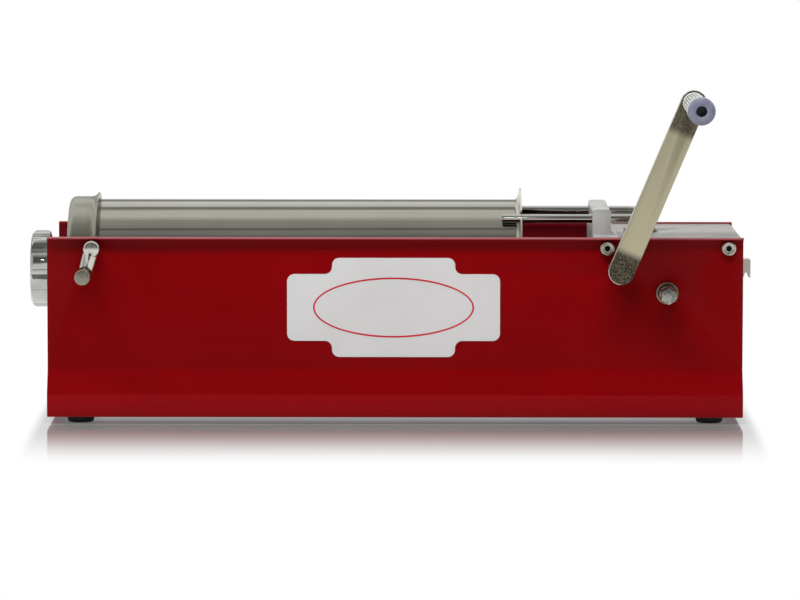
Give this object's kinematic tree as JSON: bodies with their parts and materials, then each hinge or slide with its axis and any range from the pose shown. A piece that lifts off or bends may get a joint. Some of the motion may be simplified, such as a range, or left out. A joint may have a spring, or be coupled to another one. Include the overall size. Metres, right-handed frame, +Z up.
{
  "type": "sausage stuffer",
  "caption": "Horizontal crank-driven sausage stuffer: a rack and gears push a piston through a steel cylinder to a front outlet, in a red sheet tray.",
  "frame": {"origin": "on the ground, under the middle of the machine's bounding box", "axes": "+X along the cylinder from the outlet to the gearbox, +Y away from the crank, +Z up"},
  "size_m": [0.6526, 0.3286, 0.3014],
  "materials": {
    "red_paint": "gloss",
    "stainless_steel": "bright satin",
    "cast_aluminium": "fine cast, satin",
    "polished_aluminium": "polished",
    "chrome": "plated, bright",
    "zinc_steel": "zinc plated",
    "bright_bar": "ground, clear lacquer",
    "bronze": "sintered",
    "black_rubber": "matt",
    "white_plastic": "satin",
    "seal_rubber": "satin",
    "cap_plastic": "satin"
  },
  "bodies": {
    "stand": {"tray": "red_paint", "front_cross_plate": "red_paint", "cylinder_saddle": "stainless_steel", "cylinder_tube": "stainless_steel", "front_head": "stainless_steel", "head_gasket": "seal_rubber", "pivot_bush_near": "bronze", "pivot_bush_far": "bronze", "far_pivot_screw": "zinc_steel", "front_bulkhead": "cast_aluminium", "rear_bulkhead": "cast_aluminium", "near_bearing_plate": "cast_aluminium", "far_bearing_plate": "cast_aluminium", "tie_bar": "cast_aluminium", "roller_pin": "zinc_steel", "gearbox_cover": "stainless_steel", "cover_screw_front": "zinc_steel", "cover_screw_rear": "zinc_steel", "bulkhead_screw_front_near": "zinc_steel", "bulkhead_screw_front_far": "zinc_steel", "bulkhead_screw_rear_near": "zinc_steel", "bulkhead_screw_rear_far": "zinc_steel", "crank_shaft_wall_bush": "bronze", "crank_shaft_plate_bush": "bronze", "drive_shaft_wall_bush_near": "bronze", "drive_shaft_wall_bush_far": "bronze", "drive_shaft_plate_bush_near": "bronze", "drive_shaft_plate_bush_far": "bronze", "rod_bush_near": "bronze", "rod_bush_far": "bronze", "rubber_foot_front_near": "black_rubber", "rubber_foot_front_far": "black_rubber", "rubber_foot_rear_near": "black_rubber", "rubber_foot_rear_far": "black_rubber"},
    "crank": {"crank_shaft": "zinc_steel", "crank_pinion": "zinc_steel", "pinion_pin": "zinc_steel", "crank_shaft_clip": "zinc_steel", "crank_arm": "bright_bar", "crank_socket": "zinc_steel", "grip_bolt": "zinc_steel", "grip_nut": "zinc_steel"},
    "grip": {"crank_grip": "white_plastic", "grip_end_cap": "cap_plastic"},
    "drive": {"drive_shaft": "zinc_steel", "large_gear": "zinc_steel", "gear_key": "zinc_steel", "drive_shaft_clip_near": "zinc_steel", "drive_shaft_clip_far": "zinc_steel"},
    "roller": {"rack_roller": "zinc_steel"},
    "carriage": {"rack": "zinc_steel", "piston": "white_plastic", "piston_seal": "seal_rubber", "piston_washer": "stainless_steel", "piston_bolt": "stainless_steel"},
    "rods": {"locking_rods": "stainless_steel"},
    "lever": {"pivot_lever": "chrome", "lever_knob": "chrome"},
    "nut": {"ring_nut": "polished_aluminium"}
  },
  "joints": [
    {"name": "crank_turn", "type": "hinge", "parent": "stand", "child": "crank", "pos_m": [0.20433, -0.0397, 0.13941], "axis": [0, 1, 0], "range_deg": [-8938.14, 0]},
    {"name": "drive_shaft_spin", "type": "hinge", "parent": "stand", "child": "drive", "pos_m": [0.24694, 0.0723, 0.1173], "axis": [0, 1, 0], "range_deg": [0, 2979.43]},
    {"name": "rack_slide", "type": "slide", "parent": "stand", "child": "carriage", "axis": [1, 0, 0], "range_m": [0, 0.41605]},
    {"name": "roller_spin", "type": "hinge", "parent": "stand", "child": "roller", "pos_m": [0.24694, 0.0723, 0.1487], "axis": [0, 1, 0], "range_deg": [-2979.43, 0]},
    {"name": "grip_spin", "type": "hinge", "parent": "crank", "child": "grip", "pos_m": [0.26734, -0.0447, 0.28931], "axis": [0, 1, 0], "continuous": true},
    {"name": "rods_slide", "type": "slide", "parent": "stand", "child": "rods", "axis": [1, 0, 0], "range_m": [0, 0.03]},
    {"name": "lever_turn", "type": "hinge", "parent": "stand", "child": "lever", "pos_m": [-0.26676, -0.0077, 0.157], "axis": [0, 1, 0], "range_deg": [0, 180]},
    {"name": "nut_turn", "type": "hinge", "parent": "stand", "child": "nut", "pos_m": [-0.32626, 0.0723, 0.131], "axis": [1, 0, 0], "continuous": true}
  ],
  "couplings": [
    {"joint": "drive_shaft_spin", "follows": "crank_turn", "ratio": -0.33333},
    {"joint": "rack_slide", "follows": "crank_turn", "m_per_rad": -0.0026667},
    {"joint": "roller_spin", "follows": "crank_turn", "ratio": 0.33333}
  ]
}
